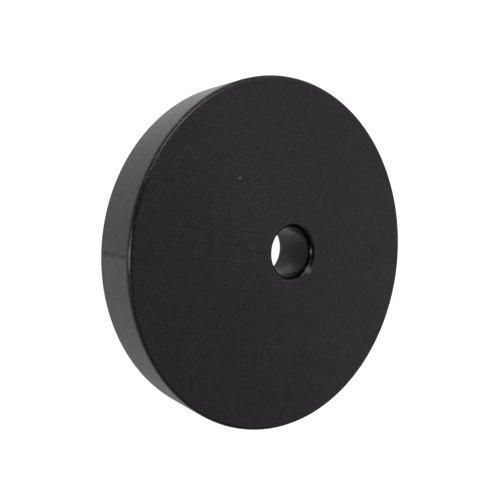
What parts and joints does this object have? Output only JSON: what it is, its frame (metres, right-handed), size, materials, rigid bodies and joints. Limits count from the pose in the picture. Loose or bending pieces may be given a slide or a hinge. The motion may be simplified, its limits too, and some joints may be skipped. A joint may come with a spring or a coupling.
{
  "type": "security tag detacher",
  "caption": "Round black passive magnetic detacher puck with a flat working face, a rounded rim and a central through hole that takes the dome of a hard security tag.",
  "frame": {"origin": "on the surface that the feet stand on, under the centre of the hole", "axes": "+Z along the hole's axis and out of the working face; the four screws, bosses and feet stand in two opposite pairs, one turned 5.4 degrees from the X axis and one -1.1 degrees from the Y axis"},
  "size_m": [0.08, 0.08, 0.0132],
  "materials": {
    "case_plastic": "black moulded plastic, fine matt grain on the face, smoother and semi-gloss on the rim and in the hole",
    "cover_plastic": "black moulded plastic with a coarser matt grain",
    "screw_steel": "bright zinc-plated steel",
    "foot_rubber": "matt black rubber",
    "magnet_nickel": "satin nickel plating on sintered magnet",
    "turned_steel": "turned mild steel, lightly oiled",
    "zinc_steel": "punched zinc-plated steel sheet",
    "carrier_plastic": "natural white moulded plastic",
    "foam": "closed-cell foam, die cut"
  },
  "bodies": {
    "root": {"front_shell": "case_plastic", "rear_cover": "cover_plastic", "cover_screw_1": "screw_steel", "cover_screw_2": "screw_steel", "cover_screw_3": "screw_steel", "cover_screw_4": "screw_steel", "foot_1": "foot_rubber", "foot_2": "foot_rubber", "foot_3": "foot_rubber", "foot_4": "foot_rubber", "core_magnet": "magnet_nickel", "pole_ring": "turned_steel", "arc_magnet_1": "magnet_nickel", "arc_magnet_2": "magnet_nickel", "arc_magnet_3": "magnet_nickel", "arc_magnet_4": "magnet_nickel", "arc_magnet_5": "magnet_nickel", "arc_magnet_6": "magnet_nickel", "arc_magnet_7": "magnet_nickel", "arc_magnet_8": "magnet_nickel", "back_plate": "zinc_steel", "magnet_carrier": "carrier_plastic", "foam_pad": "foam"}
  },
  "joints": []
}
